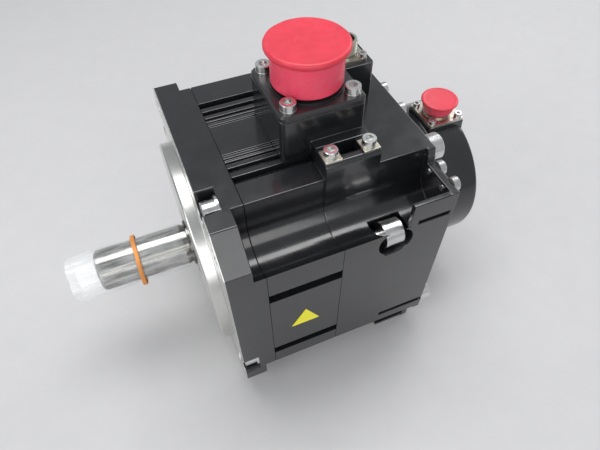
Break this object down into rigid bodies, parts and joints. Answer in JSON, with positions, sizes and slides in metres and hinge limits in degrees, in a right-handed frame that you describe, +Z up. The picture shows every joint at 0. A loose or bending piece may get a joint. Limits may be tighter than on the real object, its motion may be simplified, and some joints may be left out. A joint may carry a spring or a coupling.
{
  "type": "servo motor",
  "caption": "Square-flanged servo motor with a holding brake, a round encoder cover, upright connectors under dust caps, and a plain round shaft in a clear protective sleeve.",
  "frame": {"origin": "where the shaft axis meets the front face of the square mounting flange", "axes": "+X out along the output shaft, +Z up towards the connectors, +Y to the side that is at the viewer's front with the shaft to the left"},
  "size_m": [0.2244, 0.1303, 0.1734],
  "materials": {
    "black_paint": "semi-gloss black paint",
    "bare_casting": "machined",
    "core_steel": "laminated electrical steel",
    "insulation": "moulded",
    "winding": "enamelled copper wire",
    "lead_insulation": "extruded",
    "ground_steel": "ground",
    "magnet": "nickel-plated magnet",
    "glass_band": "resin-bonded glass band",
    "seal_rubber": "moulded",
    "brake_steel": "turned",
    "brake_winding": "enamelled copper wire",
    "friction_lining": "bonded lining",
    "disc_glass": "polished",
    "circuit_board": "solder mask",
    "components": "moulded packages",
    "black_screws": "black oxide",
    "zinc_screws": "bright zinc plating",
    "black_shell": "black anodised",
    "nickel": "satin nickel plating",
    "insert_plastic": "moulded",
    "gold_contact": "gold plating",
    "red_cap": "soft moulded plastic",
    "clear_sleeve": "clear soft plastic film",
    "band_rubber": "natural rubber",
    "yellow_label": "plain sticker"
  },
  "bodies": {
    "housing": {"front_bracket": "black_paint", "stator_frame": "black_paint", "rear_housing": "black_paint", "stator_core": "core_steel", "slot_insulation": "insulation", "stator_coils": "winding", "motor_leads": "lead_insulation", "front_bearing_outer": "ground_steel", "front_bearing_balls": "ground_steel", "rear_bearing_outer": "ground_steel", "rear_bearing_balls": "ground_steel", "oil_seal": "seal_rubber", "wave_washer": "ground_steel", "brake_coil_housing": "brake_steel", "brake_coil": "brake_winding", "brake_end_plate": "brake_steel", "brake_springs": "brake_steel", "brake_screws": "black_screws", "encoder_base": "bare_casting", "encoder_board": "circuit_board", "encoder_components": "components", "encoder_cover": "black_paint", "cover_screws": "zinc_screws", "connector_box": "black_paint", "power_receptacle": "black_shell", "power_screws": "zinc_screws", "power_insert": "insert_plastic", "power_pins": "gold_contact", "brake_connector_block": "black_paint", "brake_receptacle": "nickel", "brake_connector_screws": "zinc_screws", "brake_insert": "insert_plastic", "encoder_receptacle": "nickel", "encoder_connector_screws": "zinc_screws", "encoder_insert": "insert_plastic", "signal_pins": "gold_contact", "clamp_plates": "nickel", "clamp_screws": "zinc_screws", "front_tie_bolts": "black_screws", "side_bolts": "zinc_screws", "rear_tie_bolts": "zinc_screws", "rear_plate_screws": "zinc_screws", "hazard_sticker": "yellow_label"},
    "rotor": {"shaft": "ground_steel", "rotor_core": "core_steel", "rotor_magnets": "magnet", "rotor_band": "glass_band", "front_bearing_inner": "ground_steel", "rear_bearing_inner": "ground_steel", "brake_hub": "brake_steel", "brake_disc": "friction_lining", "encoder_hub": "brake_steel", "encoder_disc": "disc_glass"},
    "armature": {"brake_armature": "brake_steel"},
    "power_dust_cap": {"power_cap": "red_cap"},
    "encoder_dust_cap": {"encoder_cap": "red_cap"},
    "shaft_protection": {"shaft_sleeve": "clear_sleeve", "rubber_band": "band_rubber"}
  },
  "joints": [
    {"name": "shaft_spin", "type": "hinge", "parent": "housing", "child": "rotor", "pos_m": [0, 0, 0], "axis": [1, 0, 0], "continuous": true},
    {"name": "armature_travel", "type": "slide", "parent": "housing", "child": "armature", "axis": [1, 0, 0], "range_m": [-0.0003, 0.00015]},
    {"name": "power_cap_lift", "type": "slide", "parent": "housing", "child": "power_dust_cap", "axis": [0, 0, 1], "range_m": [0, 0.03]},
    {"name": "encoder_cap_lift", "type": "slide", "parent": "housing", "child": "encoder_dust_cap", "axis": [0, 0, 1], "range_m": [0, 0.02]},
    {"name": "sleeve_pull_off", "type": "slide", "parent": "rotor", "child": "shaft_protection", "axis": [1, 0, 0], "range_m": [0, 0.07]}
  ]
}
